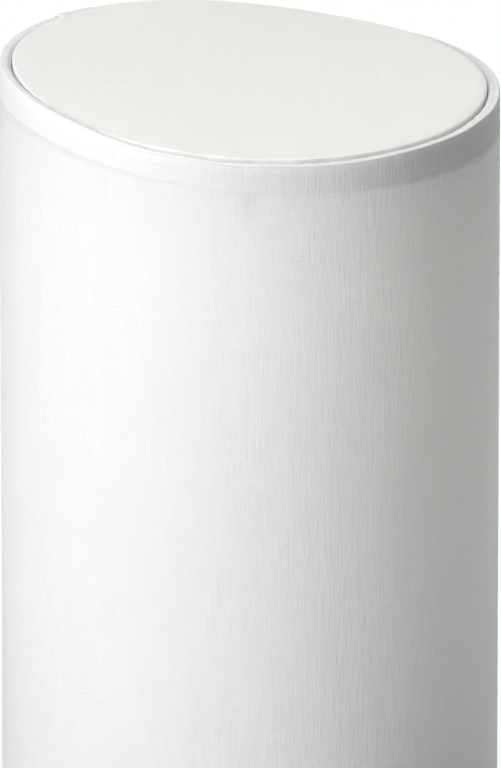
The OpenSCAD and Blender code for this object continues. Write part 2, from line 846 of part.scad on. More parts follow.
// Half section of the disc, drawn in by the inset on every side
module disc_section(inset) {
    polygon(concat(
        [[0, disc_z0 + inset]],
        arc([disc_r - disc_low_edge_r, disc_z0 + disc_low_edge_r], disc_low_edge_r - inset, -90, 0, 4),
        arc([disc_r - disc_edge_r, lamp_h - disc_edge_r], disc_edge_r - inset, 0, 90, 10),
        [[0, lamp_h - inset]]
    ));
}

module disc_cloth() {
    color("white") rotate_extrude($fn = shade_fn) difference() {
        disc_section(0);
        disc_section(cloth_t);
        translate([-1, disc_z0 - 1]) square([disc_r - disc_turn_w + 1, 1 + disc_skin]);
    }
}

module disc_board() {
    color("burlywood") rotate_extrude($fn = shade_fn) disc_section(disc_skin);
}

module disc_backing() {
    color("snow") rod_z(disc_z0, disc_z0 + cloth_t, 0, 0, disc_r - disc_turn_w - 0.3, $fn = shade_fn);
}

base_cover();
base_weight();
base_plate();
base_screws();
foot_pads();
cord_gland();
terminal_block();
terminal_screws();
earth_lead();
earth_screw();
pole_stud();
stud_nut();
stud_washer();
pole_flange();
flange_screws();
pole_lower();
lower_junction();
pole_middle();
upper_junction();
pole_upper();
pole_cap();
grub_screws();
lower_arm();
upper_arm();
holder_locknuts();
lower_holder_cup();
lower_holder_core();
lower_screw_shell();
lower_contact();
lower_holder_skirt();
upper_holder_cup();
upper_holder_core();
upper_screw_shell();
upper_contact();
upper_holder_skirt();
lower_wires();
upper_wires();
lower_bulb_tip();
lower_bulb_insulator();
lower_bulb_cap();
lower_bulb_housing();
lower_bulb_globe();
upper_bulb_tip();
upper_bulb_insulator();
upper_bulb_cap();
upper_bulb_housing();
upper_bulb_globe();
shade_cloth();
shade_liner();
top_ring();
bottom_ring();
seam_tape();
spider_hub();
spider_arms();
rest_tabs();
disc_cloth();
disc_board();
disc_backing();
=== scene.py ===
# Column floor lamp. Metres; the origin is on the floor under the pole, +Z is up, -Y faces the viewer.
import json
import math

import bpy
import numpy as np
from mathutils import Matrix, Vector


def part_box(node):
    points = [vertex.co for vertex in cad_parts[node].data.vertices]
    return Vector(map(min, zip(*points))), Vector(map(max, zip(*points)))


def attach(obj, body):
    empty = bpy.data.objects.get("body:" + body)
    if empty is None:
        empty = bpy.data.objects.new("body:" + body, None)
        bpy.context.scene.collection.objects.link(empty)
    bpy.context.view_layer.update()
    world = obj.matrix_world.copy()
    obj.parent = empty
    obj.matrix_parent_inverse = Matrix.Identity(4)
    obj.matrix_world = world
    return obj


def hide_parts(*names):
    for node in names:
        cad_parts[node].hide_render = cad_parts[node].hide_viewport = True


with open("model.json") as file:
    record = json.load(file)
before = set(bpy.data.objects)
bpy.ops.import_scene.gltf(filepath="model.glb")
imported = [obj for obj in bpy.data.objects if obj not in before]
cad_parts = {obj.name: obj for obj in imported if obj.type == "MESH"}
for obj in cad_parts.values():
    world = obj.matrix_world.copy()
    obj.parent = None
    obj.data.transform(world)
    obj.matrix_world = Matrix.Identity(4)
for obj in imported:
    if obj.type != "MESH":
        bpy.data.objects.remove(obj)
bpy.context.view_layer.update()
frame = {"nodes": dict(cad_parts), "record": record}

TURN = 2 * math.pi


# ---- Sizes, read from the frame where a node gives them ----

def radius_of(node):
    """Outer radius of a round node that stands on the lamp's axis."""
    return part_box(node)[1][0]


def low_of(node):
    """Height of a node's lowest point."""
    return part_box(node)[0][2]


def top_of(node):
    """Height of a node's highest point."""
    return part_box(node)[1][2]


CLOTH_T = 0.0006
COLUMN_R = radius_of("shade_cloth")
RIM_Z = top_of("shade_cloth")
HEEL_Z = low_of("shade_cloth")
ROD_R = (top_of("top_ring") - low_of("top_ring")) / 2
RING_R = radius_of("top_ring") - ROD_R
TOP_RING_Z = top_of("top_ring") - ROD_R
LOW_RING_Z = low_of("bottom_ring") + ROD_R
ROLL_R = COLUMN_R - CLOTH_T / 2 - RING_R
FOLD_R = 0.00035
HEM_H = 0.012
HEM_R = COLUMN_R - 0.0015
HEM_BEND_R = 0.00075

# The cloth's ends lap at the back
LAP_ANGLE = math.radians(131)
LAP_W = 0.020
LAP_RISE_W = 0.005
LAP_GAP = 0.00005

# Small unevenness of the cloth, as heights: puckers over the rings and the disc's edge, slow waves of the
# wall, and waves of the rim
PUCKER_H = 0.00008
DISC_PUCKER_H = 0.00006
SLOW_WAVE_H = 0.00005
UNEVEN_H = 0.00013

# On the right the roll's inner shoulder is pressed out by this much towards the disc
SHOULDER_PRESS = 0.00028

# The rim and the disc's face stand up unevenly off the ring: an even lift, and waves round the lamp given
# by how many go into a round, their height and the angle of the first crest times their number
RIM_LIFT = 0.0028
RIM_WAVES = ((1, 0.0004, 180), (2, 0.0022, -4), (3, 0.0006, -44), (4, 0.0006, 101))
DISC_LIFT = 0.0005
DISC_TILT = (1, 0.0006, 60)
RIM_EASE_H = 0.03

# Dips in an edge: angle of the middle, half width, depth, and a power that is larger for a flatter bottom
RIM_DIP = (math.radians(128), math.radians(9), 0.0003, 4)
DISC_DIP = (math.radians(220), math.radians(24), 0.0026, 2)
# Where the rim leans inwards, in the same terms: its outer edge goes up and its inner edge down
RIM_LEAN = (math.radians(-33), math.radians(27), 0.0007, 2)

DISC_R = radius_of("disc_cloth")
DISC_TOP_Z = top_of("disc_cloth")
DISC_LOW_Z = low_of("disc_cloth")
DISC_ROLL_W, DISC_ROLL_H = 0.0006, 0.0006
DISC_RIGHT_ROLL_W, DISC_RIGHT_ROLL_H = 0.0045, 0.0012
DISC_LOW_EDGE_R = 0.0008
DISC_TURN_W = 0.015

# Screw caps and shells: one turn of a bulb moves it up by the pitch
THREAD_PITCH = 0.003629
THREAD_RAMP = 0.0012

# Points round the column, the disc and a thread
COLUMN_STEPS, DISC_STEPS, THREAD_STEPS = 372, 360, 96
# Points up a thread
THREAD_ROWS = 88


# ---- Meshes ----

def grid_faces(index):
    """Quads between the neighbouring rows and columns of a grid of point numbers."""
    corners = [index[:-1, :-1], index[:-1, 1:], index[1:, 1:], index[1:, :-1]]
    return np.stack(corners, axis=-1).reshape(-1, 4)


def put_mesh(name, points, quads, attributes):
    """A smooth mesh object from points (n, 3) and quads (m, 4). A quad with two equal neighbours is a
    triangle at a pole. If the faces enclose a negative volume, all of them are turned to face outwards."""
    a, b, c, d = (points[quads[:, k]] for k in range(4))
    volume = np.einsum("ij,ij->", a, np.cross(b, c)) + np.einsum("ij,ij->", a, np.cross(c, d))
    if volume < 0:
        quads = quads[:, ::-1]
    first_pole = quads[:, 0] == quads[:, 1]
    last_pole = quads[:, 2] == quads[:, 3]
    whole = quads[~(first_pole | last_pole)]
    first_caps = quads[first_pole][:, 1:]
    last_caps = quads[last_pole & ~first_pole][:, :3]
    faces = whole.tolist() + first_caps.tolist() + last_caps.tolist()
    mesh = bpy.data.meshes.new(name)
    mesh.from_pydata(points.tolist(), [], faces)
    for label, values in attributes.items():
        layer = mesh.attributes.new(label, "FLOAT_VECTOR", "POINT")
        layer.data.foreach_set("vector", np.ascontiguousarray(values, dtype=np.float32).ravel())
    mesh.shade_smooth()
    mesh.update()
    piece = bpy.data.objects.new(name, mesh)
    bpy.context.scene.collection.objects.link(piece)
    return piece


def sheet_mesh(name, skins, threads, wraps, poled=False):
    """A thin solid between an outer and an inner skin, each a grid of points (rows, columns, 3), with
    strips that close its free edges. wraps joins the last column to the first, and poled makes the first
    row one point. threads, of the same shape as a skin, goes into the thread attribute of both skins."""
    rows, columns = skins[0].shape[:2]
    outer = np.arange(rows * columns).reshape(rows, columns)
    if poled:
        outer[0] = outer[0, 0]
    if wraps:
        outer = np.hstack([outer, outer[:, :1]])
    inner = outer + rows * columns
    sides = [grid_faces(outer), grid_faces(inner)[:, ::-1], grid_faces(np.stack([outer[-1], inner[-1]]))]
    if not poled:
        sides.append(grid_faces(np.stack([inner[0], outer[0]])))
    if not wraps:
        sides.append(grid_faces(np.stack([inner[:, 0], outer[:, 0]], axis=1)))
        sides.append(grid_faces(np.stack([outer[:, -1], inner[:, -1]], axis=1)))
    points = np.concatenate([skin.reshape(-1, 3) for skin in skins])
    used, numbers = np.unique(np.concatenate(sides), return_inverse=True)
    both = np.tile(threads.reshape(-1, 3), (2, 1))
    return put_mesh(name, points[used], numbers.reshape(-1, 4), {"thread": both[used]})


def ripple(position, shortest, longest, count, rng):
    """Sum of count cosines of position, with wavelengths spread evenly in ratio between the two limits
    and phases drawn from rng, scaled to a root mean square of one."""
    waves = shortest * (longest / shortest) ** rng.random(count)
    phases = TURN * rng.random(count)
    return np.cos(TURN * position[..., None] / waves + phases).sum(axis=-1) * math.sqrt(2 / count)


def round_ripple(angle, shortest, longest, radius, count, rng):
    """The same for a closed round: each wavelength is trimmed so that a whole number of waves fits."""
    waves = shortest * (longest / shortest) ** rng.random(count)
    orders = np.round(TURN * radius / waves)
    phases = TURN * rng.random(count)
    return np.cos(angle[..., None] * orders + phases).sum(axis=-1) * math.sqrt(2 / count)


def smooth_step(value, low, high):
    """0 below low, 1 above high and 3t^2 - 2t^3 between them."""
    t = np.clip((value - low) / (high - low), 0, 1)
    return t * t * (3 - 2 * t)


def arc_rows(centre, radius, start, end, count):
    """Points of an arc in (r, z), count steps from start to end, with the unit direction from its centre."""
    angle = np.radians(np.linspace(start, end, count, endpoint=False))
    away = np.stack([np.cos(angle), np.sin(angle)], axis=1)
    return np.array(centre) + radius * away, away


def straight_rows(r, z, facing):
    """Points of a straight part of a section, with one direction for its face."""
    line = np.stack(np.broadcast_arrays(np.asarray(r, dtype=float), np.asarray(z, dtype=float)), axis=1)
    return line, np.tile(np.array(facing, dtype=float), (len(line), 1))


def lengths_along(line):
    """Length of the section up to each of its rows."""
    steps = np.linalg.norm(np.diff(line, axis=0), axis=-1)
    return np.concatenate([np.zeros_like(steps[:1]), np.cumsum(steps, axis=0)])


def swept_skins(line, facing, angle, lift, rise):
    """Outer and inner skin of a cloth whose middle line is swept round the axis through the angles: each
    point moves along its facing by the lift and half the thickness, and up by the rise. line and facing
    hold (r, z) by row and column, or by row and one column for all the angles."""
    skins = []
    for side in (0.5, -0.5):
        offset = lift + side * CLOTH_T
        r = line[..., 0] + facing[..., 0] * offset
        z = line[..., 1] + facing[..., 1] * offset + rise
        skins.append(np.stack([r * np.cos(angle), r * np.sin(angle), z], axis=-1))
    return skins


# ---- Cloth column ----

def rise_above_ring(waves, angle, share):
    """How far an edge stands up off the ring, and at a share of the edge's radius how far a skin does that is
    stretched over it: each wave fades inwards as the share to the power of its number."""
    return RIM_LIFT + sum(
        height * share**count * np.cos(count * angle - math.radians(crest))
        for count, height, crest in waves
    )


def dip(angle, shape):
    """Depth times exp of minus the turn from the dip's middle, over its half width, to its power."""
    middle, half_width, depth, power = shape
    turned_by = (angle - middle + math.pi) % TURN - math.pi
    return depth * np.exp(-((turned_by / half_width) ** power))


def right_shoulder(facing, angle):
    """Lift of the roll's inner shoulder, which on the right is squarer and nearer to the disc: there it
    follows the curve x^4 + y^4 = 1, and elsewhere a circle."""
    inner = (facing[:, 0] < 0) & (facing[:, 1] > -0.5)
    square = np.sum(np.maximum(facing[inner], [-1, 0]) ** 4, axis=1) ** -0.25 - 1
    lift = np.zeros(len(facing))
    lift[inner] = ROLL_R * np.minimum(square, 0.2) + SHOULDER_PRESS
    return lift[:, None] * smooth_step(np.cos(angle), 0.2, 0.9)[None, :]


def hemmed_edge():
    """Middle line of the cloth in (r, z) from the hem's cut edge, up behind the liner, round the bend below
    the top ring, round the inside of the ring, over the flat rim and round the fold to the wall."""
    bend_z = TOP_RING_Z - ROLL_R - HEM_BEND_R
    flat_z = TOP_RING_Z + ROLL_R
    fold_r = RING_R + ROLL_R - FOLD_R
    bend, from_bend = arc_rows((HEM_R - HEM_BEND_R, bend_z), HEM_BEND_R, 0, 90, 3)
    parts = [
        straight_rows(HEM_R, np.linspace(RIM_Z - HEM_H, bend_z, 3, endpoint=False), [-1, 0]),
        (bend, -from_bend),
        arc_rows((RING_R, TOP_RING_Z), ROLL_R, 270, 90, 15),
        straight_rows(np.linspace(RING_R, fold_r, 4, endpoint=False), flat_z, [0, 1]),
        arc_rows((fold_r, flat_z - FOLD_R), FOLD_R, 90, 0, 4),
    ]
    return np.concatenate([part[0] for part in parts]), np.concatenate([part[1] for part in parts])


def column_section():
    """The whole middle line: upper hemmed edge, wall, and the same edge mirrored at the foot. The share
    says how much of the rim's rise each row takes."""
    edge, facing = hemmed_edge()
    fold_z = TOP_RING_Z + ROLL_R - FOLD_R
    ease_z = fold_z - RIM_EASE_H
    low_fold_z = LOW_RING_Z + TOP_RING_Z - fold_z
    eased_z = np.linspace(fold_z, ease_z, 6, endpoint=False)
    wall_z = np.concatenate([eased_z, np.linspace(ease_z, low_fold_z, 40)])
    wall, wall_facing = straight_rows(RING_R + ROLL_R, wall_z, [1, 0])
    low_edge = edge[::-1] * [1, -1] + [0, TOP_RING_Z + LOW_RING_Z]
    line = np.concatenate([edge, wall, low_edge])
    faces_out = np.concatenate([facing, wall_facing, facing[::-1] * [1, -1]])
    edge_share = (edge[:, 1] > TOP_RING_Z - 1e-6).astype(float)
    share = np.concatenate([edge_share, smooth_step(wall_z, ease_z, fold_z), np.zeros(len(edge))])
    return line, faces_out, share


def column_cloth():
    """One strip of cloth, wrapped once round the rings with its ends lapped. A point of the middle sheet is
    the section line at its row plus its facing times lift: the lap's rise, puckers where the cloth is drawn
    in round the rings, the squarer shoulder on the right, and slow waves of the wall. The rim also stands up
    off its ring in waves, dips beside the lap and leans inwards at the front right. The two skins lie half a
    thickness to each side."""
    rng = np.random.default_rng(11)
    line, facing, share = column_section()
    along = lengths_along(line)
    width = TURN * COLUMN_R + LAP_W
    across = np.linspace(0, width, COLUMN_STEPS)
    angle = LAP_ANGLE + across / COLUMN_R
    lap_rise = smooth_step(across, width - LAP_W - LAP_RISE_W, width - LAP_W) * (CLOTH_T + LAP_GAP)
    rolled = np.clip((COLUMN_R - CLOTH_T - line[:, 0]) / ROLL_R, 0, 1) * (facing[:, 0] > -0.999)
    puckers = PUCKER_H * ripple(across, shortest=0.006, longest=0.016, count=14, rng=rng)
    slow = SLOW_WAVE_H * (1 + ripple(across, shortest=0.05, longest=0.2, count=6, rng=rng) / 2)
    on_wall = (facing[:, 0] > 0.999) * smooth_step(RIM_Z - line[:, 1], 0.002, 0.02)
    lift = lap_rise[None, :] + rolled[:, None] * puckers[None, :] + on_wall[:, None] * slow[None, :]
    at_rim = line[:, 1] > TOP_RING_Z
    lift = lift + at_rim[:, None] * right_shoulder(facing, angle)
    uneven = UNEVEN_H * ripple(across, shortest=0.03, longest=0.12, count=6, rng=rng) - dip(angle, RIM_DIP)
    rise = share[:, None] * np.maximum(rise_above_ring(RIM_WAVES, angle, 1) + uneven, 0)[None, :]
    outwards = np.clip((line[:, 0] - RING_R) / ROLL_R, -1, 1)
    rise = rise + (share * outwards)[:, None] * dip(angle, RIM_LEAN)[None, :]
    skins = swept_skins(line[:, None], facing[:, None], angle, lift, rise)
    from_edge = np.minimum(RIM_Z - line[:, 1], line[:, 1] - HEEL_Z)
    threads = np.stack(np.broadcast_arrays(across[None, :], along[:, None], from_edge[:, None]), axis=-1)
    piece = sheet_mesh("column_cloth", skins, threads, wraps=False)
    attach(piece, "shade")
    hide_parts("shade_cloth")
    return piece


# ---- Closing disc ----

def disc_section(angle):
    """Middle line of the disc's cover by row and column, from the middle of the face, round a quarter of an
    ellipse that is larger on the right, down the side, round the low edge and in under the board."""
    half = CLOTH_T / 2
    on_right = smooth_step(np.cos(angle), 0.3, 1)
    roll_w = DISC_ROLL_W + (DISC_RIGHT_ROLL_W - DISC_ROLL_W) * on_right
    roll_h = DISC_ROLL_H + (DISC_RIGHT_ROLL_H - DISC_ROLL_H) * on_right
    face_r = np.linspace(0, 1, 18, endpoint=False)[:, None] * (DISC_R - roll_w)
    face = np.stack([face_r, np.full_like(face_r, DISC_TOP_Z - half)], axis=-1)
    turn = np.radians(np.linspace(90, 0, 12, endpoint=False))[:, None]
    roll_r = DISC_R - roll_w + (roll_w - half) * np.cos(turn)
    roll_z = DISC_TOP_Z - roll_h + (roll_h - half) * np.sin(turn)
    steepness = np.stack([np.cos(turn) / roll_w, np.sin(turn) / roll_h], axis=-1)
    roll_facing = steepness / np.linalg.norm(steepness, axis=-1, keepdims=True)
    low_edge_r = DISC_R - DISC_LOW_EDGE_R
    turned_in_r = np.linspace(low_edge_r, DISC_R - DISC_TURN_W, 6)
    low_parts = [
        arc_rows((low_edge_r, DISC_LOW_Z + DISC_LOW_EDGE_R), DISC_LOW_EDGE_R - half, 0, -90, 5),
        straight_rows(turned_in_r, DISC_LOW_Z + half, [0, -1]),
    ]
    low, low_facing = (np.concatenate([part[k] for part in low_parts])[:, None] for k in range(2))
    columns = (1, len(angle), 1)
    line = np.concatenate([face, np.stack([roll_r, roll_z], axis=-1), np.tile(low, columns)])
    face_facing = np.tile(np.array([0.0, 1.0]), face.shape[:2] + (1,))
    return line, np.concatenate([face_facing, roll_facing, np.tile(low_facing, columns)])


def disc_cover():
    """Cloth over the board, swept round the axis. The edge carries small puckers. The face is stretched like
    a drum's skin over an edge that follows the rim, stands a little higher at the back and dips on the
    left."""
    rng = np.random.default_rng(12)
    angle = np.linspace(0, TURN, DISC_STEPS, endpoint=False)
    line, facing = disc_section(angle)
    along = lengths_along(line)
    on_edge = smooth_step(along, DISC_R - 0.004, DISC_R + 0.002) * (facing[..., 1] > -0.9)
    puckers = round_ripple(angle, shortest=0.008, longest=0.03, radius=DISC_R, count=12, rng=rng)
    lift = on_edge * DISC_PUCKER_H * puckers
    on_top = facing[..., 1] > 1e-6
    share = line[..., 0] / DISC_R
    rise = DISC_LIFT + rise_above_ring(RIM_WAVES + (DISC_TILT,), angle, share)
    rise = rise - share**4 * dip(angle, DISC_DIP)
    skins = swept_skins(line, facing, angle, lift, on_top * rise)
    threads = np.stack([along * np.sin(angle), along * np.cos(angle), np.ones_like(along)], axis=-1)
    piece = sheet_mesh("disc_cover", skins, threads, wraps=True, poled=True)
    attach(piece, "disc")
    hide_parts("disc_cloth")
    return piece


# ---- Screw threads ----

def threaded_tube(name, node, body, wall, depth, swell, plain_low, plain_high):
    """Thin tube with a rolled thread, in the place of a CAD tube. The middle of its wall lies at the crest
    less depth times half of 1 - cos(2 pi z / pitch - angle). The thread fades out into plain ends of the
    two given heights, and the crest swells outwards from the tube's own radius where the thread is full."""
    low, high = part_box(node)
    outer_r = (high[0] - low[0]) / 2
    middle_x = (high[0] + low[0]) / 2
    height = np.linspace(low[2], high[2], THREAD_ROWS)[:, None]
    angle = np.linspace(0, TURN, THREAD_STEPS, endpoint=False)[None, :]
    full = smooth_step(height, low[2] + plain_low, low[2] + plain_low + THREAD_RAMP)
    full = full * (1 - smooth_step(height, high[2] - plain_high - THREAD_RAMP, high[2] - plain_high))
    wave = (1 - np.cos(TURN * height / THREAD_PITCH - angle)) / 2
    middle_r = outer_r - wall / 2 + full * (swell - depth * wave)
    skins = []
    for side in (0.5, -0.5):
        r = middle_r + side * wall
        skins.append(np.stack([middle_x + r * np.cos(angle), r * np.sin(angle), height + 0 * r], axis=-1))
    piece = sheet_mesh(name, skins, skins[0], wraps=True)
    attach(piece, body)
    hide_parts(node)
    return piece


def screw_threads(level):
    """The bulb's cap and the holder's shell of one level, lower or upper."""
    return [
        threaded_tube(level + "_cap_thread", level + "_bulb_cap", level + "_bulb",
                      wall=0.00055, depth=0.0009, swell=0.0, plain_low=0.0034, plain_high=0.0072),
        threaded_tube(level + "_shell_thread", level + "_screw_shell", "stand",
                      wall=0.0007, depth=0.0007, swell=0.0003, plain_low=0.0016, plain_high=0.0016),
    ]


# ---- Finishes ----

class Value:
    """One output in a finish's node tree. Arithmetic on it adds Math nodes."""

    def __init__(self, finish, socket):
        self.finish = finish
        self.socket = socket

    def math(self, operation, first, second):
        """A new output worked out from two others, or from one and a number."""
        return self.finish.node("ShaderNodeMath", {"operation": operation}, [first, second])

    def __add__(self, other):
        return self.math("ADD", self, other)

    def __radd__(self, other):
        return self.math("ADD", other, self)

    def __sub__(self, other):
        return self.math("SUBTRACT", self, other)

    def __rsub__(self, other):
        return self.math("SUBTRACT", other, self)

    def __mul__(self, other):
        return self.math("MULTIPLY", self, other)

    def __rmul__(self, other):
        return self.math("MULTIPLY", other, self)


class Finish:
    """A material and the few ways in which its nodes are added."""

    def __init__(self, name):
        self.material = bpy.data.materials.new(name)
        self.material.use_nodes = True
        self.tree = self.material.node_tree
        self.tree.nodes.clear()

    def node(self, kind, settings=None, inputs=None, output=0):
        """Adds a node of that kind: its settings, then the values or links of its inputs, by name or place.
        Gives back one of its outputs."""
        node = self.tree.nodes.new(kind)
        for key, value in (settings or {}).items():
            setattr(node, key, value)
        pairs = inputs.items() if isinstance(inputs, dict) else enumerate(inputs or [])
        for key, value in pairs:
            if isinstance(value, Value):
                self.tree.links.new(value.socket, node.inputs[key])
            else:
                node.inputs[key].default_value = value
        return Value(self, node.outputs[output])

    def place(self):
        """Metres in the lamp's own frame."""
        return self.node("ShaderNodeTexCoord", output="Object")

    def threads(self):
        """Metres across and along the cloth as it was cut, and metres from the nearer hemmed edge."""
        return self.node("ShaderNodeAttribute", {"attribute_name": "thread"}, output="Vector")

    def part_of(self, where, axis):
        """One coordinate, X, Y or Z, of a place."""
        return self.node("ShaderNodeSeparateXYZ", None, [where], output=axis)

    def mapped(self, where, per_metre, turn=0.0):
        """The place, turned about Z and then counted in cells: so many a metre along each axis."""
        turned = where
        if turn:
            turned = self.node("ShaderNodeMapping", None, {"Vector": where, "Rotation": (0, 0, turn)})
        return self.node("ShaderNodeMapping", None, {"Vector": turned, "Scale": per_metre})

    def noise(self, where, per_metre, detail=2.0, roughness=0.5, turn=0.0):
        """Soft noise between 0 and 1 with so many blotches a metre along each axis."""
        return self.node("ShaderNodeTexNoise", None, {
            "Vector": self.mapped(where, per_metre, turn),
            "Scale": 1.0,
            "Detail": detail,
            "Roughness": roughness,
        })

    def cells(self, where, per_metre):
        """A random grey for each crystal cell."""
        color = self.node("ShaderNodeTexVoronoi", None,
                          {"Vector": self.mapped(where, per_metre), "Scale": 1.0}, output="Color")
        return self.part_of(color, "X")

    def step(self, value, low, high):
        """0 at low, 1 at high and a smooth step between them."""
        return self.node("ShaderNodeMapRange", {"interpolation_type": "SMOOTHSTEP"},
                         {"Value": value, "From Min": low, "From Max": high})

    def blend(self, factor, first, second):
        """One colour at factor 0 and the other at 1."""
        return self.node("ShaderNodeMix", {"data_type": "RGBA"}, {0: factor, 6: first, 7: second}, output=2)

    def bump(self, height, depth):
        """Normal of a relief whose height runs from 0 to 1 over that depth in metres."""
        inputs = {"Strength": 1.0, "Distance": depth, "Height": height}
        return self.node("ShaderNodeBump", None, inputs, output="Normal")

    def principled(self, **inputs):
        """Underscores in the names of the inputs stand for spaces."""
        return self.node("ShaderNodeBsdfPrincipled", None,
                         {key.replace("_", " "): value for key, value in inputs.items()})

    def let_through(self, share, surface, color, normal):
        """Mixes in light that passes through the sheet."""
        through = self.node("ShaderNodeBsdfTranslucent", None, {"Color": color, "Normal": normal})
        return self.node("ShaderNodeMixShader", None, [share, surface, through])

    def close(self, shader):
        """Ends the material with that shader."""
        end = self.tree.nodes.new("ShaderNodeOutputMaterial")
        self.tree.links.new(shader.socket, end.inputs["Surface"])
        return self.material


def shaded(color, share):
    """That colour, share times as bright."""
    return [min(channel * share, 1.0) for channel in color[:3]] + [1.0]


# The linen's slubs, long slubs, warp and weft: how many a metre across and along the cloth, and their share
# of its relief
LINEN = ((430, 75, 0.32), (170, 24, 0.18), (1400, 80, 0.24), (80, 1300, 0.26))
PALE_SLUBS = (260, 60, 1)
CLOTH_RELIEF = 0.00068
# How much flatter the cloth is pressed on the disc's board
DISC_PRESS = 0.35
# The hem's cut edge wanders by this much
HEM_WANDER = 0.002
# The cloth's colour is darker and greyer within about 2 mm of the column's top and bottom edges
RIM_TONE = 0.86
# Bleached linen is less yellow than raw
BLEACH = (1.0, 1.012, 1.03)
# Tint of the light that passes through it, and how much passes one layer and a hem
THROUGH_TINT = (1.0, 0.988, 0.98)
CLOTH_THROUGH = 0.45
HEM_THROUGH = 0.31


def woven_cloth(name, color):
    """Linen: long upright slubs, finer threads both ways, a few pale slubs, and a doubled hem that lets less
    light through. The disc's cloth counts as 1 m away from any hem."""
    finish = Finish(name)
    color = [channel * share for channel, share in zip(color, BLEACH)]
    where = finish.threads()
    relief = sum(
        share * finish.noise(where, (across, along, 1), detail=1.0)
        for across, along, share in LINEN
    )
    from_edge = finish.part_of(where, "Z")
    normal = finish.bump(relief * (1 - DISC_PRESS * finish.step(from_edge, 0.8, 0.9)), CLOTH_RELIEF)
    wavy_edge = from_edge + HEM_WANDER * finish.noise(where, (60, 60, 1))
    single = finish.step(wavy_edge, HEM_H + 0.0004, HEM_H + 0.0016)
    threads = finish.step(relief, 0.36, 0.64)
    tone = finish.blend(threads, shaded(color, 0.985), shaded(color, 1.01))
    pale = finish.step(finish.noise(where, PALE_SLUBS, detail=0.0), 0.74, 0.8)
    tone = finish.blend(pale * 0.5, tone, shaded(color, 1.06))
    tone = finish.blend(finish.step(from_edge, 0.0004, 0.0018), shaded(color, RIM_TONE), tone)
    roughness = 0.85 + 0.1 * (threads - 0.5)
    surface = finish.principled(Base_Color=tone, Roughness=roughness, Sheen_Weight=0.08, Normal=normal)
    passed = [max(color) * share for share in THROUGH_TINT]
    through = HEM_THROUGH + (CLOTH_THROUGH - HEM_THROUGH) * single
    return finish.close(finish.let_through(through, surface, shaded(passed, 1.0), normal))


EARTH_GREEN, EARTH_YELLOW = (0.04, 0.36, 0.07), (0.85, 0.72, 0.05)


def earth_wire(name):
    """Insulation striped in two colours along the wire, with a tinned tag at its end."""
    finish = Finish(name)
    where = finish.place()
    low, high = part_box("earth_lead")
    tag_w = high[1] - low[1]
    upper = finish.step(finish.part_of(where, "Z"), low[2] + 0.0011, low[2] + 0.0013)
    grain = finish.noise(where, (900, 900, 900), detail=2.0)
    wire = finish.blend(upper, shaded(EARTH_GREEN, 1.0), shaded(EARTH_YELLOW, 1.0))
    tin = finish.blend(grain, (0.55, 0.55, 0.54, 1), (0.68, 0.68, 0.67, 1))
    tag = 1 - finish.step(finish.part_of(where, "X"), low[0] + tag_w - 0.0001, low[0] + tag_w + 0.0001)
    return finish.close(finish.principled(
        Base_Color=finish.blend(tag, wire, tin),
        Metallic=tag,
        Roughness=0.38 + 0.12 * grain,
        Normal=finish.bump(grain, 0.00002),
    ))


def solid(name, color, roughness, second=None, tone=0.05, blotch=50, metallic=0.0, coat=0.0, sheen=0.0,
          grain=(1200, 1200, 1200), depth=0.00002, gloss=0.1, worn=None, worn_tone=1.1, spangle=None,
          fibres=False, through=0.0):
    """Finish whose colour drifts between two tones in blotches, with grain in its relief and gloss. worn
    adds rubbed patches, spangle adds crystal cells, and fibres lays two crossing sets of fine hairs."""
    finish = Finish(name)
    where = finish.place()
    blotches = finish.noise(where, (blotch, blotch, blotch), detail=4.0, roughness=0.6)
    relief = finish.noise(where, grain, detail=2.0)
    if fibres:
        one_way = finish.noise(where, (260, 2600, 1300), detail=2.0, roughness=0.7, turn=0.5)
        other_way = finish.noise(where, (2600, 260, 1300), detail=2.0, roughness=0.7, turn=0.2)
        relief = relief * 0.3 + one_way * 0.35 + other_way * 0.35
    shade = blotches * 0.6 + relief * 0.4
    if spangle:
        shade = shade * 0.4 + finish.cells(where, (spangle, spangle, spangle)) * 0.6
    shade = finish.step(shade, 0.3, 0.7)
    base = finish.blend(shade, shaded(second or color, 1 - tone), shaded(color, 1 + tone / 2))
    gloss_value = roughness + gloss * (shade - 0.5)
    if worn:
        rubbed = finish.step(finish.noise(where, (worn, worn, worn), detail=5.0, roughness=0.7), 0.58, 0.68)
        base = finish.blend(rubbed * 0.6, base, shaded(color, worn_tone))
        gloss_value = gloss_value + 0.12 * rubbed
    normal = finish.bump(relief, depth)
    surface = finish.principled(
        Base_Color=base,
        Roughness=gloss_value,
        Metallic=metallic,
        Coat_Weight=coat,
        Sheen_Weight=sheen,
        Normal=normal,
    )
    if through:
        surface = finish.let_through(through, surface, shaded(color, 1.0), normal)
    return finish.close(surface)


# Turned and rolled metal has rings about its upright axis, so its grain is long across and short upwards
RINGS = (40, 40, 2600)

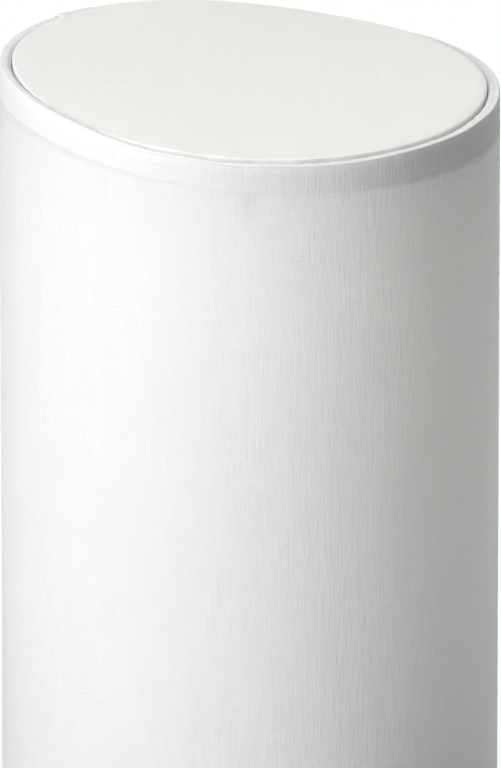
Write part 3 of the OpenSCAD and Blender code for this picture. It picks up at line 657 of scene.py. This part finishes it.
SOLIDS = {
    "white_steel": dict(roughness=0.42, tone=0.02, blotch=22, grain=(850, 850, 850), depth=0.00004, worn=16,
                        worn_tone=0.93),
    "raw_iron": dict(roughness=0.72, metallic=0.85, tone=0.3, blotch=70, second=(0.13, 0.1, 0.085),
                     grain=(420, 420, 420), depth=0.00022, worn=35, worn_tone=1.6),
    "zinc_plate": dict(roughness=0.4, metallic=1.0, tone=0.12, spangle=140, second=(0.5, 0.53, 0.57),
                       grain=(60, 900, 900), depth=0.00001, worn=30, worn_tone=0.8),
    "zinc_steel": dict(roughness=0.34, metallic=1.0, tone=0.1, blotch=180, second=(0.6, 0.6, 0.52),
                       grain=RINGS, depth=0.00001, worn=120, worn_tone=0.8),
    "ring_steel": dict(roughness=0.42, metallic=1.0, tone=0.12, blotch=90, spangle=420,
                       second=(0.6, 0.62, 0.65), grain=(900, 900, 900), depth=0.00002, worn=60,
                       worn_tone=0.75),
    "black_steel": dict(roughness=0.45, metallic=0.9, tone=0.25, blotch=300, second=(0.06, 0.06, 0.075),
                        grain=(2400, 2400, 2400), depth=0.00001, worn=260, worn_tone=3.0),
    "grey_felt": dict(roughness=0.95, tone=0.25, blotch=260, fibres=True, grain=(900, 900, 900), depth=0.0002,
                      sheen=0.4),
    "white_rubber": dict(roughness=0.75, tone=0.05, blotch=90, grain=(1800, 1800, 1800), depth=0.00002,
                         worn=120, worn_tone=0.88),
    "cream_plastic": dict(roughness=0.4, tone=0.04, blotch=60, grain=(1500, 1500, 1500), depth=0.00001,
                          coat=0.1),
    "brass": dict(roughness=0.3, metallic=1.0, tone=0.14, blotch=110, second=(0.7, 0.5, 0.22), grain=RINGS,
                  depth=0.00001, worn=90, worn_tone=0.72),
    "brown_insulation": dict(roughness=0.38, tone=0.12, blotch=130, grain=(700, 700, 700), depth=0.00002,
                             worn=80, worn_tone=1.25),
    "blue_insulation": dict(roughness=0.38, tone=0.12, blotch=130, grain=(700, 700, 700), depth=0.00002,
                            worn=80, worn_tone=1.25),
    "white_plastic": dict(roughness=0.28, tone=0.02, blotch=40, grain=(1600, 1600, 1600), depth=0.00001,
                          coat=0.15, worn=60, worn_tone=0.95),
    "ceramic": dict(roughness=0.6, tone=0.05, blotch=160, grain=(1400, 1400, 1400), depth=0.00004, worn=110,
                    worn_tone=0.86),
    "solder": dict(roughness=0.3, metallic=1.0, tone=0.18, blotch=420, second=(0.46, 0.46, 0.47),
                   grain=(500, 500, 500), depth=0.00025),
    "black_insulator": dict(roughness=0.2, tone=0.3, blotch=200, grain=(1200, 1200, 1200), depth=0.00002,
                            coat=0.5),
    "bulb_metal": dict(roughness=0.28, metallic=1.0, tone=0.1, blotch=160, second=(0.66, 0.66, 0.68),
                       grain=RINGS, depth=0.00001, worn=110, worn_tone=0.8),
    "bulb_plastic": dict(roughness=0.4, tone=0.03, blotch=50, grain=(1300, 1300, 1300), depth=0.00002,
                         worn=70, worn_tone=0.94),
    "opal_globe": dict(roughness=0.35, tone=0.015, blotch=30, grain=(1500, 1500, 1500), depth=0.000008,
                       coat=0.1, through=0.4),
    "white_liner": dict(roughness=0.4, tone=0.02, blotch=30, grain=(1000, 1000, 60), depth=0.00001,
                        through=0.85),
    "white_tape": dict(roughness=0.7, tone=0.05, blotch=90, grain=(900, 900, 2600), depth=0.00004),
    "fibreboard": dict(roughness=0.85, tone=0.22, blotch=180, fibres=True, second=(0.46, 0.34, 0.22),
                       grain=(1100, 1100, 1100), depth=0.00008),
    "white_card": dict(roughness=0.8, tone=0.06, blotch=120, fibres=True, grain=(1300, 1300, 1300),
                       depth=0.00003),
}


def finishes():
    """A material for each slot of the record."""
    made = {}
    for entry in frame["record"]["materials"]:
        slot, color = entry["slot"], list(entry["base_color"])
        if slot == "white_cloth":
            made[slot] = woven_cloth(slot, color)
        elif slot == "earth_insulation":
            made[slot] = earth_wire(slot)
        else:
            made[slot] = solid(slot, color, **SOLIDS[slot])
    return made


def dress(piece, material):
    """Gives a piece one material in place of any that it has."""
    piece.data.materials.clear()
    piece.data.materials.append(material)


# ---- Camera, lamps and floor ----

# The photograph's frame, and the column's axis and the middle of its rim in it, in pixels
FRAME_W, FRAME_H = 501, 768
AXIS_X, RIM_Y = 249.8, 84.7
COLUMN_W = 499.6
CAMERA_RISE = math.radians(19.54)
CAMERA_DISTANCE = 8.75
# The photograph's upright edges are parallel to its sides while the rim leans down to the right
LEAN = 0.061

# The strip lamps in the column: how far they stand from the axis, and their width
STRIP_REACH = 0.024
STRIP_W = 0.02

# The floor is a square, and its paper fades into white between two distances from the lamp
FLOOR_SIDE = 40.0
FADE_START, FADE_END = 1.2, 3.2


def set_camera():
    """A long lens from the front, above the rim. The lean is a shear of the picture: the camera's own
    sideways axis gets a share of its upward axis."""
    pixel = 2 * COLUMN_R / COLUMN_W
    back = Vector((0, -math.cos(CAMERA_RISE), math.sin(CAMERA_RISE)))
    up = Vector((0, math.sin(CAMERA_RISE), math.cos(CAMERA_RISE)))
    aim = Vector((0, 0, RIM_Z)) - up * (FRAME_H / 2 - RIM_Y) * pixel
    aim += Vector((1, 0, 0)) * (FRAME_W / 2 - AXIS_X) * pixel
    pose = Matrix.LocRotScale(aim + back * CAMERA_DISTANCE, back.to_track_quat("Z", "Y"), None)
    pose.col[0] = pose.col[0] + LEAN * pose.col[1]
    data = bpy.data.cameras.new("camera")
    data.lens = data.sensor_width * CAMERA_DISTANCE / (FRAME_H * pixel)
    data.clip_end = 100
    camera = bpy.data.objects.new("camera", data)
    stand = bpy.data.objects.new("camera_stand", None)
    bpy.context.scene.collection.objects.link(stand)
    bpy.context.scene.collection.objects.link(camera)
    camera.parent = stand
    camera.matrix_parent_inverse = pose
    bpy.context.scene.camera = camera


def panel(name, place, away, width, height, power):
    """Soft rectangular lamp at a place. Its dark side looks along away, and power is in watts."""
    data = bpy.data.lights.new(name, "AREA")
    data.shape = "RECTANGLE"
    data.size = width
    data.size_y = height
    data.energy = power
    lamp = bpy.data.objects.new(name, data)
    lamp.location = place
    lamp.rotation_mode = "QUATERNION"
    lamp.rotation_quaternion = away.to_track_quat("Z", "Y")
    lamp.visible_camera = False
    bpy.context.scene.collection.objects.link(lamp)
    return lamp


def level_direction(azimuth):
    """Level unit vector; azimuth is counted from the viewer's side, to the right, in degrees."""
    a = math.radians(azimuth)
    return Vector((math.sin(a), -math.cos(a), 0))


def softbox(name, azimuth, distance, height, size, strength):
    """Square panel aimed at the rim; distance is level and height above the floor, in metres. strength is
    how bright it makes a white board that faces it at the rim."""
    place = distance * level_direction(azimuth) + Vector((0, 0, height))
    away = place - Vector((0, 0, RIM_Z))
    return panel(name, place, away, size, size, strength * math.pi**2 * away.length_squared)


def inner_strip(azimuth, low_z, high_z, strength):
    """Upright strip beside the pole, shining outwards. The strips stand for the light that the closed
    column takes in from the bright studio behind it."""
    name = f"inner_strip_{azimuth}"
    place = STRIP_REACH * level_direction(azimuth) + Vector((0, 0, (low_z + high_z) / 2))
    return panel(name, place, -level_direction(azimuth), STRIP_W, high_z - low_z, strength * (high_z - low_z))


def set_world(ambient):
    """Even light all round; the camera, mirrors and glass see plain white."""
    world = bpy.data.worlds.new("studio")
    world.use_nodes = True
    nodes, links = world.node_tree.nodes, world.node_tree.links
    nodes.clear()
    path = nodes.new("ShaderNodeLightPath")
    seen = nodes.new("ShaderNodeMath")
    seen.operation = "MAXIMUM"
    links.new(path.outputs["Is Camera Ray"], seen.inputs[0])
    mirror = nodes.new("ShaderNodeMath")
    mirror.operation = "MAXIMUM"
    links.new(path.outputs["Is Glossy Ray"], mirror.inputs[0])
    links.new(path.outputs["Is Transmission Ray"], mirror.inputs[1])
    links.new(mirror.outputs[0], seen.inputs[1])
    level = nodes.new("ShaderNodeMapRange")
    level.inputs["To Min"].default_value = ambient
    links.new(seen.outputs[0], level.inputs["Value"])
    light = nodes.new("ShaderNodeBackground")
    links.new(level.outputs[0], light.inputs["Strength"])
    output = nodes.new("ShaderNodeOutputWorld")
    links.new(light.outputs[0], output.inputs["Surface"])
    bpy.context.scene.world = world


def floor_finish():
    """Pale paper, which the camera sees turn into plain white away from the lamp."""
    finish = Finish("floor_paper")
    where = finish.place()
    fibres = finish.noise(where, (90, 90, 90), detail=4.0)
    tone = finish.blend(fibres, (0.8, 0.8, 0.8, 1.0), (0.82, 0.82, 0.82, 1.0))
    paper = finish.principled(Base_Color=tone, Roughness=0.9)
    distance = finish.node("ShaderNodeVectorMath", {"operation": "LENGTH"}, [where], output="Value")
    far = finish.step(distance, FADE_START, FADE_END)
    seen = finish.node("ShaderNodeLightPath", output="Is Camera Ray")
    white = finish.node("ShaderNodeEmission", None, {"Strength": 1.0})
    return finish.close(finish.node("ShaderNodeMixShader", None, [far * seen, paper, white]))


def set_floor():
    """A large flat square under the lamp."""
    half = FLOOR_SIDE / 2
    points = np.array([[-half, -half, 0], [half, -half, 0], [half, half, 0], [-half, half, 0]])
    mesh = bpy.data.meshes.new("floor")
    mesh.from_pydata(points.tolist(), [], [[0, 1, 2, 3]])
    floor = bpy.data.objects.new("floor", mesh)
    bpy.context.scene.collection.objects.link(floor)
    dress(floor, floor_finish())


set_camera()
materials = finishes()
for part in frame["record"]["subparts"]:
    dress(frame["nodes"][part["node"]], materials[part["material_slot"]])
for piece in (column_cloth(), disc_cover()):
    dress(piece, materials["white_cloth"])
for level in ("lower", "upper"):
    cap, shell = screw_threads(level)
    dress(cap, materials["bulb_metal"])
    dress(shell, materials["brass"])
set_floor()
set_world(ambient=0.035)
softbox("key_box", azimuth=-50, distance=3.3, height=2.98, size=1.2, strength=0.78)
softbox("front_box", azimuth=-20, distance=3.3, height=2.98, size=1.2, strength=0.36)
softbox("top_box", azimuth=-63, distance=0.82, height=4.2, size=1.5, strength=0.745)
softbox("back_box", azimuth=140, distance=3.0, height=1.8, size=1.5, strength=0.42)
for azimuth in (-60, 30, 100):
    inner_strip(azimuth, low_z=1.09, high_z=1.355, strength=0.33)
inner_strip(azimuth=5, low_z=1.3, high_z=1.37, strength=0.4)
bpy.context.scene.view_settings.view_transform = "Standard"
